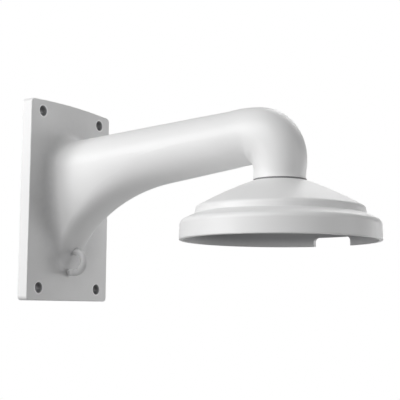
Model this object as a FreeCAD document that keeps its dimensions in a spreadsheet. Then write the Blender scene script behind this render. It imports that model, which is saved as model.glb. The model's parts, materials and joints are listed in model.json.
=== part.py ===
"""Camera wall bracket: a die-cast arm on a wall plate, with a round cap under its neck.

Frame: millimetres, +Z up. The origin is the middle of the four wall holes, on the
wall face of the plate. +X points out of the wall, and the bracket is symmetric
about the XZ plane apart from the notch in the rim of its cap.
"""

import FreeCAD, Part
import math
import os

import Sketcher

vector = FreeCAD.Vector
doc = FreeCAD.newDocument("camera_wall_bracket")

# Driving sizes: millimetres, and degrees where the name says angle or fall

SIZES = [
    ("plate_width", 116.0),
    ("plate_height", 184.0),
    ("plate_crown", 2.1),
    ("plate_depth", 10.5),
    ("plate_face", 4.0),
    ("plate_rim", 4.0),
    ("plate_corner", 4.0),
    ("plate_edge", 0.8),
    ("hole_side_inset", 16.0),
    ("hole_end_inset", 11.5),
    ("hole_diameter", 9.5),
    ("hole_chamfer", 0.5),
    ("boss_diameter", 17.0),
    ("rib_width", 3.0),
    ("rib_setback", 1.0),
    ("arm_reach", 230.0),
    ("arm_top_height", 56.2),
    ("arm_top_slope", 0.0715),
    ("arm_belly_height", -3.7),
    ("arm_belly_slope", 0.130),
    ("arm_elbow_radius", 23.4),
    ("arm_radius_growth", 0.031),
    ("arm_wall", 4.0),
    ("arm_root_fillet", 10.0),
    ("keel_start", 118.0),
    ("keel_drop", 73.0),
    ("keel_bury", 1.5),
    ("keel_narrowing", 15.0),
    ("elbow_outer_radius", 44.7),
    ("elbow_inner_radius", 4.3),
    ("neck_radius", 22.2),
    ("neck_flat", 0.4),
    ("neck_bottom", 8.0),
    ("neck_boss_radius", 5.0),
    ("neck_boss_height", 13.0),
    ("eye_bar", 6.4),
    ("eye_radius", 9.7),
    ("eye_centre_out", 17.8),
    ("eye_centre_drop", 56.0),
    ("gasket_thickness", 1.5),
    ("gasket_inset", 0.5),
    ("cable_hole_radius", 8.0),
    ("screw_pitch_radius", 13.8),
    ("screw_shank", 5.0),
    ("screw_clearance", 0.5),
    ("screw_length", 16.0),
    ("screw_head_diameter", 8.5),
    ("screw_head_height", 5.0),
    ("screw_socket", 4.0),
    ("screw_socket_depth", 2.5),
    ("thread_clearance", 0.2),
    ("thread_depth", 11.0),
    ("washer_diameter", 10.0),
    ("washer_thickness", 1.0),
    ("lock_diameter", 9.2),
    ("lock_thickness", 1.2),
    ("lock_split", 1.0),
    ("cap_lip_radius", 23.0),
    ("cap_crown_thickness", 5.0),
    ("cap_dome_radius", 69.6),
    ("cap_dome_drop", 21.9),
    ("cap_dome_curve", 300.0),
    ("cap_step_radius", 70.4),
    ("cap_step_drop", 27.6),
    ("cap_shoulder_fall", 25.0),
    ("cap_shoulder_round", 5.5),
    ("cap_rim_radius", 83.0),
    ("cap_rim_draft", 0.6),
    ("cap_height", 49.0),
    ("cap_wall", 3.0),
    ("cap_crease_round", 3.5),
    ("cap_groove_round", 0.8),
    ("cap_rim_round", 0.8),
    ("notch_angle", 80.8),
    ("notch_width", 37.5),
    ("notch_height", 8.0),
    ("notch_corner", 4.0),
    ("mount_pitch_radius", 57.5),
    ("mount_boss_diameter", 11.0),
    ("mount_boss_drop", 36.5),
    ("mount_thread", 4.2),
    ("mount_thread_depth", 9.0),
]

CAP_SCREWS = 3
CAMERA_SCREWS = 3
OVERCUT = 1.0

sheet = doc.addObject("Spreadsheet::Sheet", "sizes")
for row, (alias, value) in enumerate(SIZES, start=1):
    sheet.set(f"A{row}", alias.replace("_", " "))
    sheet.set(f"B{row}", str(value))
    sheet.setAlias(f"B{row}", alias)
doc.recompute()


def value_of(expression):
    """The number that an expression in the sizes gives."""
    return float(sheet.evalExpression(expression))


# Helpers for bodies and for sketches whose every size is an expression

AXIS_ACROSS = -1
AXIS_UP = -2
ORIGIN = (-1, 1)
SLACK = 0.01
START, END, CENTRE = range(1, 4)


def new_body(name):
    """An empty body with a name of its own."""
    body = doc.addObject("PartDesign::Body", name)
    body.Label = name
    return body


def origin_plane(body, role):
    """One of the three origin planes of a body."""
    return next(plane for plane in body.Origin.OriginFeatures if plane.Role == role)


def new_sketch(body, name, role, axis=vector(1, 0, 0), **offset):
    """An empty sketch on an origin plane, moved and turned by expressions."""
    sketch = body.newObject("Sketcher::SketchObject", name)
    sketch.AttachmentSupport = [(origin_plane(body, role), "")]
    sketch.MapMode = "FlatFace"
    sketch.AttachmentOffset = FreeCAD.Placement(vector(), FreeCAD.Rotation(axis, 1))
    places = {"across": "Base.x", "up": "Base.y", "out": "Base.z", "angle": "Rotation.Angle"}
    for word, prop in places.items():
        sketch.setExpression("AttachmentOffset." + prop, offset.get(word, "0"))
    return sketch


def measure(sketch, expression, *constraint):
    """Add one dimension to a sketch and bind it to an expression."""
    index = sketch.addConstraint(Sketcher.Constraint(*constraint, value_of(expression)))
    sketch.setExpression(f"Constraints[{index}]", expression)


def pin(sketch, geometry, point, across, up):
    """Place one point of a sketch by its distances from the origin."""
    for kind, axis, expression in (("DistanceX", AXIS_UP, across), ("DistanceY", AXIS_ACROSS, up)):
        distance = value_of(expression)
        if abs(distance) < 1e-6:
            sketch.addConstraint(Sketcher.Constraint("PointOnObject", geometry, point, axis))
        elif distance > 0:
            measure(sketch, expression, kind, *ORIGIN, geometry, point)
        else:
            measure(sketch, f"-({expression})", kind, geometry, point, *ORIGIN)


def add_circle(sketch, radius, across="0", up="0"):
    """A circle with its radius and centre given by expressions."""
    centre = vector(value_of(across), value_of(up))
    index = sketch.addGeometry(Part.Circle(centre, vector(0, 0, 1), value_of(radius)))
    measure(sketch, radius, "Radius", index)
    pin(sketch, index, CENTRE, across, up)


def arc_between(start, end, radius, side):
    """An arc from start to end that bulges to its left (side 1) or right (side -1)."""
    chord = end - start
    normal = vector(-chord.y, chord.x).normalize()
    depth = radius - math.sqrt(radius ** 2 - (chord.Length / 2) ** 2)
    return Part.Arc(start, start + chord / 2 + normal * depth * side, end)


def add_outline(sketch, corners, arcs=None):
    """A closed outline: corners are (across, up) expressions, and arcs maps a corner's
    index to the (radius, side) of the arc that leaves it."""
    arcs = arcs or {}
    points = [vector(value_of(across), value_of(up)) for across, up in corners]
    first = sketch.GeometryCount
    count = len(corners)
    turned = set()
    for index in range(count):
        start, end = points[index], points[(index + 1) % count]
        if index not in arcs:
            sketch.addGeometry(Part.LineSegment(start, end))
            continue
        radius, side = arcs[index]
        curve = arc_between(start, end, value_of(radius), side)
        added = sketch.addGeometry(curve)
        if sketch.getPoint(added, START).distanceToPoint(start) > 1e-6:
            turned.add(added)
    for index, (across, up) in enumerate(corners):
        edge = first + index
        before = first + (index - 1) % count
        begin = END if edge in turned else START
        finish = START if before in turned else END
        sketch.addConstraint(Sketcher.Constraint("Coincident", before, finish, edge, begin))
        pin(sketch, edge, begin, across, up)
        if index in arcs:
            measure(sketch, arcs[index][0], "Radius", edge)


def add_egg(sketch, top_radius, foot_radius, span):
    """A closed section: a top arc on the origin, a foot arc below it by the span, and two
    flanks that touch both. The flanks bulge where the foot is narrower, else they are flat."""
    upper, lower, drop = value_of(top_radius), value_of(foot_radius), value_of(span)
    foot = vector(0, -drop)
    up_axis = vector(0, 0, 1)
    bulges = upper - lower > SLACK
    if bulges:
        flank = (upper ** 2 + drop ** 2 - lower ** 2) / 2 / (upper - lower)
        inward = vector(flank - upper)
        top_tilt, foot_tilt = 0, -math.asin(drop / (flank - lower))
        left_edge = Part.ArcOfCircle(
            Part.Circle(inward, up_axis, flank), math.pi, math.pi - foot_tilt)
        right_edge = Part.ArcOfCircle(
            Part.Circle(-inward, up_axis, flank), 2 * math.pi + foot_tilt, 2 * math.pi)
    else:
        top_tilt = foot_tilt = math.asin((lower - upper) / drop)
        reach = vector(math.cos(top_tilt), math.sin(top_tilt))
        mirror = vector(-reach.x, reach.y)
        left_edge = Part.LineSegment(mirror * upper, foot + mirror * lower)
        right_edge = Part.LineSegment(foot + reach * lower, reach * upper)
    top = sketch.addGeometry(
        Part.ArcOfCircle(Part.Circle(vector(), up_axis, upper), top_tilt, math.pi - top_tilt))
    left = sketch.addGeometry(left_edge)
    bottom = sketch.addGeometry(Part.ArcOfCircle(
        Part.Circle(foot, up_axis, lower), math.pi - foot_tilt, 2 * math.pi + foot_tilt))
    right = sketch.addGeometry(right_edge)
    sketch.addConstraint(Sketcher.Constraint("Coincident", top, CENTRE, *ORIGIN))
    sketch.addConstraint(Sketcher.Constraint("PointOnObject", bottom, CENTRE, AXIS_UP))
    if bulges:
        for edge in (left, right):
            sketch.addConstraint(Sketcher.Constraint("PointOnObject", edge, CENTRE, AXIS_ACROSS))
    for edge, following in ((top, left), (left, bottom), (bottom, right), (right, top)):
        sketch.addConstraint(Sketcher.Constraint("Tangent", edge, END, following, START))
    measure(sketch, top_radius, "Radius", top)
    measure(sketch, foot_radius, "Radius", bottom)
    measure(sketch, span, "DistanceY", bottom, CENTRE, *ORIGIN)


def extrude(body, kind, name, sketch, length, back=False, **settings):
    """A pad or a pocket of a sketch, with its length bound."""
    feature = body.newObject("PartDesign::" + kind, name)
    feature.Profile = sketch
    feature.Reversed = back
    for prop, setting in settings.items():
        setattr(feature, prop, setting)
    if length:
        feature.setExpression("Length", length)
    sketch.Visibility = False
    doc.recompute()
    return feature


def dress(body, kind, name, chosen, prop, expression):
    """A fillet or a chamfer on the edges of the body's tip that a test picks."""
    base = body.Tip
    edges = [f"Edge{number}" for number, edge in enumerate(base.Shape.Edges, start=1) if chosen(edge)]
    feature = body.newObject("PartDesign::" + kind, name)
    feature.Base = (base, edges)
    feature.setExpression(prop, expression)
    doc.recompute()
    return feature


def spin(body, name, sketch, kind="Revolution"):
    """A full turn of a sketch about its own upright axis."""
    feature = body.newObject("PartDesign::" + kind, name)
    feature.Profile = sketch
    feature.ReferenceAxis = (sketch, ["V_Axis"])
    feature.Angle = 360
    doc.recompute()
    return feature


def circle_edge(radius, height, slack=0.05):
    """A test for a level circle edge of one radius and height about the body's Z axis."""
    def chosen(edge):
        curve = edge.Curve
        if not isinstance(curve, Part.Circle):
            return False
        off_axis = math.hypot(curve.Center.x, curve.Center.y)
        return (abs(curve.Radius - radius) < slack and abs(curve.Center.z - height) < slack
                and off_axis < slack)
    return chosen


def around(count, radius, turn=0):
    """The (across, up) expressions of equal places on a circle about the origin."""
    places = []
    for index in range(count):
        angle = math.radians(turn + 360 * index / count)
        places.append((f"{radius} * {math.cos(angle):.9f}", f"{radius} * {math.sin(angle):.9f}"))
    return places


# The run of the arm, as expressions in the distance from the wall

ELBOW_X = "(sizes.arm_reach - sizes.neck_radius - sizes.elbow_inner_radius)"
KEEL_RUN = "(sizes.keel_start - sizes.plate_depth + sizes.keel_bury)"


def top_line(x):
    """Height of the arm's straight top line."""
    return f"(sizes.arm_top_height + sizes.arm_top_slope * {x})"


def belly_line(x):
    """Height of the arm's underside before the keel falls away from it."""
    return f"(sizes.arm_belly_height + sizes.arm_belly_slope * {x})"


def keel_fall(x):
    """Share of the keel's drop: a quarter ellipse that ends upright inside the plate."""
    share = f"min(1; max(0; (sizes.keel_start - {x}) / {KEEL_RUN}))"
    return f"(1 - sqrt(1 - ({share})^2))"


def keel_line(x):
    """Height of the arm's underside, keel and all."""
    return f"({belly_line(x)} - sizes.keel_drop * {keel_fall(x)})"


def tube_radius(x):
    """Radius of the arm's upper half."""
    return f"(sizes.arm_elbow_radius + sizes.arm_radius_growth * ({ELBOW_X} - {x}))"


def keel_radius(x):
    """Radius of the arm's underside, which narrows as the keel falls."""
    return f"({tube_radius(x)} - sizes.keel_narrowing * {keel_fall(x)})"


ELBOW_Z = f"({belly_line(ELBOW_X)} - sizes.elbow_inner_radius)"
BEND_X = "(sizes.arm_reach + sizes.neck_radius - sizes.elbow_outer_radius)"
BEND_Z = f"({top_line(BEND_X)} - sizes.elbow_outer_radius)"


def elbow_reach(angle):
    """Distance from the elbow's inner centre to its outer line, at an angle from upright."""
    if angle == 90:
        return f"(sizes.arm_reach + sizes.neck_radius - {ELBOW_X})"
    sine, cosine = f"sin({angle} deg)", f"cos({angle} deg)"
    ahead = f"(({BEND_X} - {ELBOW_X}) * {sine} + ({BEND_Z} - {ELBOW_Z}) * {cosine})"
    aside = f"(({BEND_X} - {ELBOW_X}) * {cosine} - ({BEND_Z} - {ELBOW_Z}) * {sine})"
    return f"({ahead} + sqrt(sizes.elbow_outer_radius^2 - {aside}^2))"


def arm_section(body, name, x, wall="0", lead="0"):
    """An upright section of the arm: wall draws it in, and lead reads the keel further out."""
    ahead = f"({x} + {lead})"
    radius = f"({tube_radius(x)} - {wall})"
    foot = f"({keel_radius(ahead)} - {wall})"
    centre = f"({top_line(x)} - {tube_radius(x)})"
    sketch = new_sketch(body, name, "YZ_Plane", out=x, up=centre)
    add_egg(sketch, radius, foot, f"{centre} - {foot} - ({keel_line(ahead)} + {wall})")
    return sketch


def elbow_section(body, name, angle, wall="0"):
    """A section of the elbow on the half plane that leans out from upright by the angle."""
    reach = elbow_reach(angle)
    radius = f"(({reach} - sizes.elbow_inner_radius - sizes.neck_flat) / 2)"
    centre = f"({reach} - {radius})"
    sketch = new_sketch(
        body, name, "YZ_Plane", out=f"{ELBOW_X} + {centre} * sin({angle} deg)",
        up=f"{ELBOW_Z} + {centre} * cos({angle} deg)", angle=str(angle))
    add_egg(sketch, f"({radius} - {wall})", f"({radius} - {wall})", "sizes.neck_flat")
    return sketch


def neck_section(body, name, height, wall="0"):
    """A level section of the neck at one height."""
    radius = f"(sizes.neck_radius - sizes.neck_flat / 2 - {wall})"
    sketch = new_sketch(
        body, name, "YZ_Plane", out="sizes.arm_reach + sizes.neck_flat / 2", up=height, angle="90")
    add_egg(sketch, radius, radius, "sizes.neck_flat")
    return sketch


ARM_STATIONS = (0.0, 0.008, 0.023, 0.046, 0.082, 0.134, 0.2, 0.283, 0.386, 0.51, 0.648, 0.79, 0.91)
DUCT_STATIONS = (0.0, 0.046, 0.1, 0.17, 0.25, 0.35, 0.48, 0.62, 0.77, 0.9)
ELBOW_ANGLES = (22.5, 45, 67.5, 90)


def stations(shares, start):
    """Places along the straight arm, as shares of the way from start to the elbow."""
    return [f"({start} + {share} * ({ELBOW_X} - {start}))" for share in shares] + [ELBOW_X]


def loft(body, kind, name, sections):
    """A smooth loft through a row of sections."""
    feature = body.newObject("PartDesign::" + kind, name)
    feature.Profile = sections[0]
    feature.Sections = sections[1:]
    feature.Ruled = False
    doc.recompute()
    return feature


# The arm casting: wall plate, hollow arm, elbow, neck and safety eye in one piece

def plate_outline(sketch, inset="0"):
    """The wall plate's outline, drawn in by an inset, with a crowned top edge."""
    side = f"(sizes.plate_width / 2 - {inset})"
    bottom = f"(-sizes.plate_height / 2 + {inset})"
    shoulder = f"(sizes.plate_height / 2 - sizes.plate_crown - {inset})"
    corners = [(f"-{side}", bottom), (side, bottom), (side, shoulder), (f"-{side}", shoulder)]
    crown = f"({side}^2 / (2 * sizes.plate_crown) + sizes.plate_crown / 2)"
    add_outline(sketch, corners, {2: (crown, -1)})


HOLE_ACROSS = "(sizes.plate_width / 2 - sizes.hole_side_inset)"
HOLE_UP = "(sizes.plate_height / 2 - sizes.hole_end_inset)"


def hole_places():
    """The (across, up) expressions of the four wall holes."""
    return [(f"{side} * {HOLE_ACROSS}", f"{end} * {HOLE_UP}") for side in (-1, 1) for end in (-1, 1)]


def add_plate(body):
    """The solid plate with its rounded corners."""
    sketch = new_sketch(body, "plate_outline", "YZ_Plane")
    plate_outline(sketch)
    extrude(body, "Pad", "plate", sketch, "sizes.plate_depth")

    def runs_outward(edge):
        return abs(edge.tangentAt(edge.FirstParameter).x) > 0.99

    dress(body, "Fillet", "plate_corners", runs_outward, "Radius", "sizes.plate_corner")


def add_arm(body):
    """The outside of the arm, elbow and neck, blended into the plate."""
    start = "(sizes.plate_depth - sizes.keel_bury)"
    sections = [
        arm_section(body, f"arm_section_{number}", x)
        for number, x in enumerate(stations(ARM_STATIONS, start), start=1)
    ]
    sections += [
        elbow_section(body, f"elbow_section_{number}", angle)
        for number, angle in enumerate(ELBOW_ANGLES, start=1)
    ]
    sections.append(neck_section(body, "neck_end_section", "sizes.neck_bottom"))
    loft(body, "AdditiveLoft", "arm", sections)
    face = value_of("sizes.plate_depth")
    half_width = value_of("sizes.plate_width / 2 - sizes.plate_corner")
    half_height = value_of("sizes.plate_height / 2 - sizes.plate_corner - sizes.plate_crown")

    def meets_plate(edge):
        box = edge.BoundBox
        on_face = abs(box.XMin - face) < SLACK and abs(box.XMax - face) < SLACK
        inside = max(abs(box.YMin), abs(box.YMax)) < half_width
        return on_face and inside and max(abs(box.ZMin), abs(box.ZMax)) < half_height

    dress(body, "Fillet", "arm_root", meets_plate, "Radius", "sizes.arm_root_fillet")


def add_eye(body):
    """The safety eye: a round bar bent to a U, with both feet in the casting."""
    spine = new_sketch(body, "eye_spine", "XZ_Plane")
    foot = "sizes.plate_depth - sizes.plate_face / 2"
    upper = "-sizes.eye_centre_drop + sizes.eye_radius"
    lower = "-sizes.eye_centre_drop - sizes.eye_radius"
    out = "sizes.eye_centre_out"
    ends = [(foot, upper), (out, upper), (out, lower), (foot, lower)]
    points = [vector(value_of(across), value_of(up)) for across, up in ends]
    spine.addGeometry(Part.LineSegment(points[0], points[1]))
    bend = vector(value_of(f"{out} + sizes.eye_radius"), value_of("-sizes.eye_centre_drop"))
    spine.addGeometry(Part.Arc(points[1], bend, points[2]))
    spine.addGeometry(Part.LineSegment(points[2], points[3]))
    first_leg, turn, last_leg = range(3)
    pin(spine, first_leg, START, *ends[0])
    spine.addConstraint(Sketcher.Constraint("Horizontal", first_leg))
    spine.addConstraint(Sketcher.Constraint("Horizontal", last_leg))
    upper_end = START if spine.getPoint(turn, START).y > spine.getPoint(turn, END).y else END
    lower_end = END if upper_end == START else START
    spine.addConstraint(Sketcher.Constraint("Tangent", first_leg, END, turn, upper_end))
    spine.addConstraint(Sketcher.Constraint("Tangent", last_leg, START, turn, lower_end))
    pin(spine, turn, CENTRE, out, "-sizes.eye_centre_drop")
    measure(spine, foot, "DistanceX", *ORIGIN, last_leg, END)
    bar = new_sketch(body, "eye_bar_section", "YZ_Plane", out=foot)
    add_circle(bar, "sizes.eye_bar / 2", "0", upper)
    pipe = body.newObject("PartDesign::AdditivePipe", "safety_eye")
    pipe.Profile = bar
    pipe.Spine = spine
    doc.recompute()


DUCT_START = "(sizes.plate_depth - sizes.plate_face)"


def add_duct(body):
    """The cable duct from the wall side through the arm, elbow and neck."""
    places = [f"(-{OVERCUT})"] + stations(DUCT_STATIONS, DUCT_START)
    wall = "sizes.arm_wall"
    sections = []
    for number, x in enumerate(places, start=1):
        lead = f"({DUCT_START} - {x} + {wall})" if number == 1 else wall
        sections.append(arm_section(body, f"duct_section_{number}", x, wall, lead))
    sections += [
        elbow_section(body, f"duct_elbow_{number}", angle, wall)
        for number, angle in enumerate(ELBOW_ANGLES, start=1)
    ]
    below = f"sizes.neck_bottom - {OVERCUT}"
    sections.append(neck_section(body, "duct_end_section", below, wall))
    loft(body, "SubtractiveLoft", "cable_duct", sections)


def add_back(body):
    """The open back of the plate: a tray with bosses, a collar round the duct and ribs."""
    tray = new_sketch(body, "tray_outline", "YZ_Plane")
    plate_outline(tray, "sizes.plate_rim")
    depth = "sizes.plate_depth - sizes.plate_face"
    extrude(body, "Pocket", "tray", tray, depth, back=True)
    height = f"{depth} - sizes.rib_setback"
    bosses = new_sketch(body, "boss_circles", "YZ_Plane")
    for across, up in hole_places():
        add_circle(bosses, "sizes.boss_diameter / 2", across, up)
    extrude(body, "Pad", "bosses", bosses, depth)
    mouth = DUCT_START
    ahead = f"({mouth} + sizes.arm_wall)"
    centre = f"({top_line(mouth)} - {tube_radius(mouth)})"
    foot = keel_radius(ahead)
    collar = new_sketch(body, "collar_outline", "YZ_Plane", up=centre)
    add_egg(collar, tube_radius(mouth), foot, f"{centre} - {foot} - {keel_line(ahead)}")
    add_egg(collar, f"{tube_radius(mouth)} - sizes.arm_wall", f"{foot} - sizes.arm_wall",
            f"{centre} - {foot} - {keel_line(ahead)}")
    extrude(body, "Pad", "duct_collar", collar, depth)
    side = "(sizes.plate_width / 2 - sizes.plate_rim / 2)"
    end = "(sizes.plate_height / 2 - sizes.plate_rim / 2)"
    half = "sizes.rib_width / 2"
    ribs = new_sketch(body, "upright_ribs", "YZ_Plane", out="sizes.rib_setback")
    for sign in (-1, 1):
        middle = f"{sign} * {HOLE_ACROSS}"
        add_outline(ribs, [
            (f"{middle} - {half}", f"-{end}"), (f"{middle} + {half}", f"-{end}"),
            (f"{middle} + {half}", end), (f"{middle} - {half}", end)])
    extrude(body, "Pad", "ribs_upright", ribs, height)
    level = new_sketch(body, "level_ribs", "YZ_Plane", out="sizes.rib_setback")
    for sign in (-1, 1):
        middle = f"{sign} * {HOLE_UP}"
        add_outline(level, [
            (f"-{side}", f"{middle} - {half}"), (side, f"{middle} - {half}"),
            (side, f"{middle} + {half}"), (f"-{side}", f"{middle} + {half}")])
        inner = f"{sign} * ({tube_radius(mouth)} - sizes.arm_wall / 2)"
        outer = f"{sign} * {side}"
        corners = [(inner, f"{centre} - {half}"), (outer, f"{centre} - {half}"),
                   (outer, f"{centre} + {half}"), (inner, f"{centre} + {half}")]
        add_outline(level, corners)
    extrude(body, "Pad", "ribs_level", level, height)


def add_holes(body):
    """The four wall holes, lightly chamfered at the front."""
    sketch = new_sketch(body, "wall_hole_circles", "YZ_Plane")
    for across, up in hole_places():
        add_circle(sketch, "sizes.hole_diameter / 2", across, up)
    extrude(body, "Pocket", "wall_holes", sketch, "", back=True, Type="ThroughAll")
    radius = value_of("sizes.hole_diameter / 2")
    face = value_of("sizes.plate_depth")

    def front_of_hole(edge):
        curve = edge.Curve
        return (isinstance(curve, Part.Circle) and abs(curve.Radius - radius) < SLACK
                and abs(curve.Center.x - face) < SLACK)

    dress(body, "Chamfer", "hole_chamfers", front_of_hole, "Size", "sizes.hole_chamfer")


def soften_plate(body):
    """A small round along the front edge of the plate."""
    face = value_of("sizes.plate_depth")
    reach = value_of("sizes.plate_width / 2 - sizes.plate_corner - 0.5")
    height = value_of("sizes.plate_height / 2 - sizes.plate_corner - sizes.plate_crown - 0.5")

    def front_outline(edge):
        box = edge.BoundBox
        on_face = abs(box.XMin - face) < SLACK and abs(box.XMax - face) < SLACK
        outside = max(abs(box.YMin), abs(box.YMax)) > reach
        return on_face and (outside or max(abs(box.ZMin), abs(box.ZMax)) > height)

    dress(body, "Fillet", "plate_front_edge", front_outline, "Radius", "sizes.plate_edge")


def add_neck_bosses(body):
    """Three tapped bosses inside the neck, which take the screws of the cap."""
    places = around(CAP_SCREWS, "sizes.screw_pitch_radius")
    neck_end = {"across": "sizes.arm_reach", "out": "sizes.neck_bottom"}
    bosses = new_sketch(body, "neck_boss_circles", "XY_Plane", **neck_end)
    for across, up in places:
        add_circle(bosses, "sizes.neck_boss_radius", across, up)
    extrude(body, "Pad", "neck_bosses", bosses, "sizes.neck_boss_height")
    threads = new_sketch(body, "neck_thread_circles", "XY_Plane", **neck_end)
    for across, up in places:
        add_circle(threads, "(sizes.screw_shank + sizes.thread_clearance) / 2", across, up)
    extrude(body, "Pocket", "neck_threads", threads, "sizes.thread_depth", back=True)


def make_arm():
    """The whole arm casting."""
    body = new_body("bracket_arm")
    add_plate(body)
    add_arm(body)
    add_eye(body)
    add_duct(body)
    add_back(body)
    add_holes(body)
    soften_plate(body)
    add_neck_bosses(body)
    return body


# The cap casting under the neck, about its own axis, with its top face at zero

CAP_TOP = "sizes.neck_bottom - sizes.gasket_thickness"


def make_cap():
    """The cap: crown, dome, step, round shoulder and rim, hollow below."""
    body = new_body("dome_cap")
    body.setExpression("Placement.Base.x", "sizes.arm_reach")
    body.setExpression("Placement.Base.z", CAP_TOP)
    wall = "sizes.cap_wall"
    rim_top = "(sizes.cap_rim_radius - sizes.cap_rim_draft)"
    fall = "sizes.cap_shoulder_fall * 1 deg"
    shoulder = f"(sizes.cap_step_drop + ({rim_top} - sizes.cap_step_radius) * tan({fall}))"
    ceiling = f"({shoulder} - {wall} * tan({fall}) + {wall} / cos({fall}))"
    flat = f"(sizes.screw_pitch_radius + sizes.washer_diameter / 2 + {wall} / 2)"
    outer = [
        ("sizes.cable_hole_radius", "0"),
        ("sizes.cap_lip_radius", "0"),
        ("sizes.cap_dome_radius", "-sizes.cap_dome_drop"),
        ("sizes.cap_step_radius", "-sizes.cap_step_drop"),
        (rim_top, f"-{shoulder}"),
        ("sizes.cap_rim_radius", "-sizes.cap_height"),
    ]
    inner = [
        (f"sizes.cap_rim_radius - {wall}", "-sizes.cap_height"),
        (f"{rim_top} - {wall}", f"-{ceiling}"),
        (f"sizes.cap_step_radius - {wall}", f"-sizes.cap_step_drop - {wall} / 2"),
        (f"sizes.cap_dome_radius - {wall}", f"-sizes.cap_dome_drop - {wall} / 2"),
        (flat, "-sizes.cap_crown_thickness"),
        ("sizes.cable_hole_radius", "-sizes.cap_crown_thickness"),
    ]
    section = new_sketch(body, "cap_section", "XZ_Plane")
    dome, vault = 1, len(outer) + 3
    curve = "sizes.cap_dome_curve"
    add_outline(section, outer + inner, {dome: (curve, 1), vault: (f"{curve} - {wall}", -1)})
    spin(body, "cap_shell", section)
    crease = circle_edge(value_of("sizes.cap_dome_radius"), -value_of("sizes.cap_dome_drop"))
    dress(body, "Fillet", "cap_crease", crease, "Radius", "sizes.cap_crease_round")
    groove = circle_edge(value_of("sizes.cap_step_radius"), -value_of("sizes.cap_step_drop"))
    dress(body, "Fillet", "cap_groove", groove, "Radius", "sizes.cap_groove_round")
    corner = circle_edge(value_of(rim_top), -value_of(shoulder))
    dress(body, "Fillet", "cap_shoulder", corner, "Radius", "sizes.cap_shoulder_round")
    rim = circle_edge(value_of("sizes.cap_rim_radius"), -value_of("sizes.cap_height"))
    dress(body, "Fillet", "cap_rim", rim, "Radius", "sizes.cap_rim_round")
    add_notch(body)
    add_camera_bosses(body)
    holes = new_sketch(body, "cap_screw_circles", "XY_Plane")
    for across, up in around(CAP_SCREWS, "sizes.screw_pitch_radius"):
        add_circle(holes, "(sizes.screw_shank + sizes.screw_clearance) / 2", across, up)
    extrude(body, "Pocket", "cap_screw_holes", holes, f"sizes.cap_crown_thickness + {OVERCUT}")
    return body


def add_notch(body):
    """The notch in the rim, with rounded upper corners, cut outward from the axis."""
    sketch = new_sketch(
        body, "notch_outline", "XZ_Plane", axis=vector(0, 1, 0), angle="sizes.notch_angle - 90")
    half = "sizes.notch_width / 2"
    corner = "sizes.notch_corner"
    below = f"-sizes.cap_height - {OVERCUT}"
    above = "-sizes.cap_height + sizes.notch_height"
    outline = [
        (f"-{half}", below), (half, below), (half, f"{above} - {corner}"),
        (f"{half} - {corner}", above), (f"-{half} + {corner}", above),
        (f"-{half}", f"{above} - {corner}"),
    ]
    add_outline(sketch, outline, {2: (corner, -1), 4: (corner, -1)})
    extrude(body, "Pocket", "rim_notch", sketch, f"sizes.cap_rim_radius + {OVERCUT}")


def add_camera_bosses(body):
    """Three tapped bosses under the dome, which carry the camera's base."""
    below = "-sizes.mount_boss_drop"
    across = "-sizes.mount_pitch_radius"
    circle = new_sketch(body, "camera_boss_circle", "XY_Plane", out=below)
    add_circle(circle, "sizes.mount_boss_diameter / 2", across)
    boss = extrude(body, "Pad", "camera_boss", circle, "", Type="UpToFirst")
    thread = new_sketch(body, "camera_thread_circle", "XY_Plane", out=below)
    add_circle(thread, "sizes.mount_thread / 2", across)
    hole = extrude(body, "Pocket", "camera_thread", thread, "sizes.mount_thread_depth", back=True)
    pattern = body.newObject("PartDesign::PolarPattern", "camera_mount")
    pattern.Originals = [boss, hole]
    pattern.Axis = (circle, ["N_Axis"])
    pattern.Angle = 360
    pattern.Occurrences = CAMERA_SCREWS
    body.Tip = pattern
    doc.recompute()


# The joint under the neck: gasket, screws and their washers

def make_gasket():
    """The flat gasket between the neck and the cap."""
    body = new_body("neck_gasket")
    body.setExpression("Placement.Base.x", "sizes.arm_reach")
    body.setExpression("Placement.Base.z", CAP_TOP)
    sketch = new_sketch(body, "gasket_outline", "XY_Plane")
    add_circle(sketch, "sizes.neck_radius - sizes.gasket_inset")
    add_circle(sketch, "sizes.cable_hole_radius")
    for across, up in around(CAP_SCREWS, "sizes.screw_pitch_radius"):
        add_circle(sketch, "(sizes.screw_shank + sizes.screw_clearance) / 2", across, up)
    extrude(body, "Pad", "gasket", sketch, "sizes.gasket_thickness")
    return body


CROWN_FACE = f"({CAP_TOP} - sizes.cap_crown_thickness)"
LOCK_TOP = f"({CROWN_FACE} - sizes.washer_thickness)"
HEAD_TOP = f"({LOCK_TOP} - sizes.lock_thickness)"


def stand_at_screw(body, index, height):
    """Put a body on the axis of one screw of the cap, at a height."""
    across, up = around(CAP_SCREWS, "sizes.screw_pitch_radius")[index]
    body.setExpression("Placement.Base.x", f"sizes.arm_reach + {across}")
    body.setExpression("Placement.Base.y", up)
    body.setExpression("Placement.Base.z", height)


def make_ring(name, index, outer, thickness, height, split=""):
    """A washer below the crown, with an open split where it is a lock washer."""
    body = new_body(f"{name}_{index + 1}")
    stand_at_screw(body, index, f"{height} - {thickness}")
    sketch = new_sketch(body, "ring_outline", "XY_Plane")
    add_circle(sketch, f"{outer} / 2")
    add_circle(sketch, "(sizes.screw_shank + sizes.screw_clearance) / 2")
    extrude(body, "Pad", "ring", sketch, thickness)
    if split:
        gap = new_sketch(body, "split_outline", "XY_Plane")
        add_outline(gap, [
            ("0", f"-{split} / 2"), (f"{outer}", f"-{split} / 2"),
            (f"{outer}", f"{split} / 2"), ("0", f"{split} / 2")])
        extrude(body, "Pocket", "split", gap, thickness, back=True)
    return body


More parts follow.
